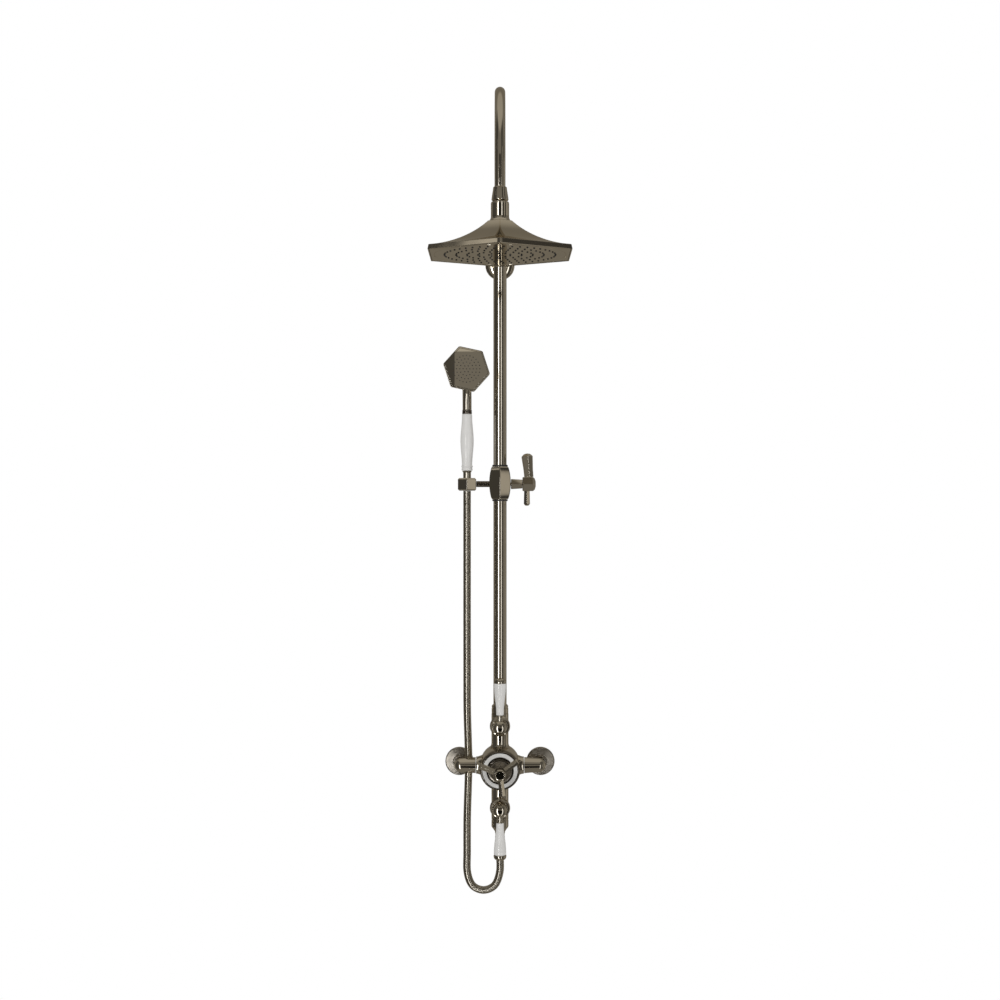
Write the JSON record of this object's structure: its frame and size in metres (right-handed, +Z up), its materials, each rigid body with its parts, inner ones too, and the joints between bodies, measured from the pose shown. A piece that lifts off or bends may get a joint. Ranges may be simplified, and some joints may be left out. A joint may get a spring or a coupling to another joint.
{
  "type": "rainfall shower column",
  "caption": "Exposed thermostatic shower column: gooseneck riser with a six-sided rain head, lever taps, and a sliding six-sided hand shower on a metal hose.",
  "frame": {"origin": "centre of the upper wall bracket's back face, on the wall", "axes": "+X right as seen from the room, +Y into the wall, +Z up along the riser"},
  "size_m": [0.232, 0.4839, 1.4274],
  "materials": {
    "polished_nickel": "polished warm nickel, mirror gloss",
    "dark_nickel": "darker satin nickel",
    "brass": "machined brass",
    "white_ceramic": "glazed white ceramic",
    "rubber": "matt black rubber",
    "black_plastic": "matt black acetal",
    "hose_metal": "polished metal hose with fine wound ribs"
  },
  "bodies": {
    "root": {"wall_bracket_base": "dark_nickel", "wall_bracket_flange": "polished_nickel", "wall_bracket_post": "polished_nickel", "riser_pipe": "polished_nickel", "gooseneck_union_nut": "polished_nickel", "gooseneck_pipe": "polished_nickel", "gooseneck_end_nut": "polished_nickel", "swivel_ball": "polished_nickel", "valve_body": "polished_nickel", "valve_bonnet": "polished_nickel", "thermostatic_cartridge": "brass", "riser_nut": "polished_nickel", "left_inlet_elbow": "polished_nickel", "right_inlet_elbow": "polished_nickel", "left_wall_flange": "polished_nickel", "right_wall_flange": "polished_nickel", "outlet_nipple": "brass", "hose_nut": "polished_nickel", "hose_crimp": "polished_nickel", "hose": "hose_metal", "upper_tap_cartridge": "brass", "lower_tap_cartridge": "brass", "upper_tap_collar": "polished_nickel", "lower_tap_collar": "polished_nickel"},
    "ball_seat": {"ball_seat_ring": "black_plastic"},
    "rain_head": {"head_swivel_nut": "polished_nickel", "head_collar": "polished_nickel", "head_bell": "polished_nickel", "head_face_plate": "polished_nickel", "head_nozzle_mat": "rubber"},
    "temperature_handle": {"temperature_hub": "polished_nickel", "hub_cap": "polished_nickel", "temperature_spoke_1": "polished_nickel", "temperature_spoke_2": "polished_nickel", "temperature_spoke_3": "polished_nickel"},
    "upper_lever": {"upper_lever_hub": "polished_nickel", "upper_lever_grip": "white_ceramic", "upper_lever_cap": "polished_nickel"},
    "lower_lever": {"lower_lever_hub": "polished_nickel", "lower_lever_grip": "white_ceramic", "lower_lever_cap": "polished_nickel"},
    "slider": {"slider_body": "polished_nickel", "slider_bush_upper": "black_plastic", "slider_bush_lower": "black_plastic", "clamp_pad": "rubber", "clamp_screw": "dark_nickel", "clamp_sleeve": "polished_nickel", "hose_upper": "hose_metal"},
    "clamp_lever": {"clamp_lever_hub": "polished_nickel", "clamp_lever_arm": "polished_nickel"},
    "holder": {"holder_rod": "polished_nickel", "holder_block": "polished_nickel", "holder_insert": "black_plastic", "hose_tip": "hose_metal"},
    "hose_end": {"hose_cone_nut": "polished_nickel"},
    "hand_shower": {"handset_ferrule": "polished_nickel", "handset_handle": "white_ceramic", "handset_collar": "dark_nickel", "handset_head": "polished_nickel", "handset_face_plate": "polished_nickel"}
  },
  "joints": [
    {"name": "head_tilt", "type": "hinge", "parent": "root", "child": "ball_seat", "pos_m": [0, -0.35, 0.042], "axis": [1, 0, 0], "range_deg": [-8, 8]},
    {"name": "head_swivel", "type": "hinge", "parent": "ball_seat", "child": "rain_head", "pos_m": [0, -0.35, 0.042], "axis": [0, 0, 1], "continuous": true},
    {"name": "temperature_turn", "type": "hinge", "parent": "root", "child": "temperature_handle", "pos_m": [0, -0.15, -0.917], "axis": [0, -1, 0], "range_deg": [-150, 120]},
    {"name": "upper_lever_turn", "type": "hinge", "parent": "root", "child": "upper_lever", "pos_m": [0, -0.094, -0.843], "axis": [0, 1, 0], "range_deg": [0, 90]},
    {"name": "lower_lever_turn", "type": "hinge", "parent": "root", "child": "lower_lever", "pos_m": [0, -0.094, -0.991], "axis": [0, -1, 0], "range_deg": [0, 90]},
    {"name": "slider_slide", "type": "slide", "parent": "root", "child": "slider", "axis": [0, 0, 1], "range_m": [-0.29, 0.08], "deforming": ["hose"]},
    {"name": "clamp_lever_turn", "type": "hinge", "parent": "slider", "child": "clamp_lever", "pos_m": [0.05, -0.05, -0.405], "axis": [1, 0, 0], "range_deg": [0, 180]},
    {"name": "holder_tilt", "type": "hinge", "parent": "slider", "child": "holder", "pos_m": [-0.03, -0.05, -0.405], "axis": [1, 0, 0], "range_deg": [-5, 35], "deforming": ["hose_upper"]},
    {"name": "handset_lift", "type": "slide", "parent": "holder", "child": "hose_end", "axis": [0, 0, 1], "range_m": [0, 0.03], "deforming": ["hose_tip"]},
    {"name": "handset_turn", "type": "hinge", "parent": "hose_end", "child": "hand_shower", "pos_m": [-0.06, -0.05, -0.394], "axis": [0, 0, 1], "range_deg": [-90, 10]}
  ]
}
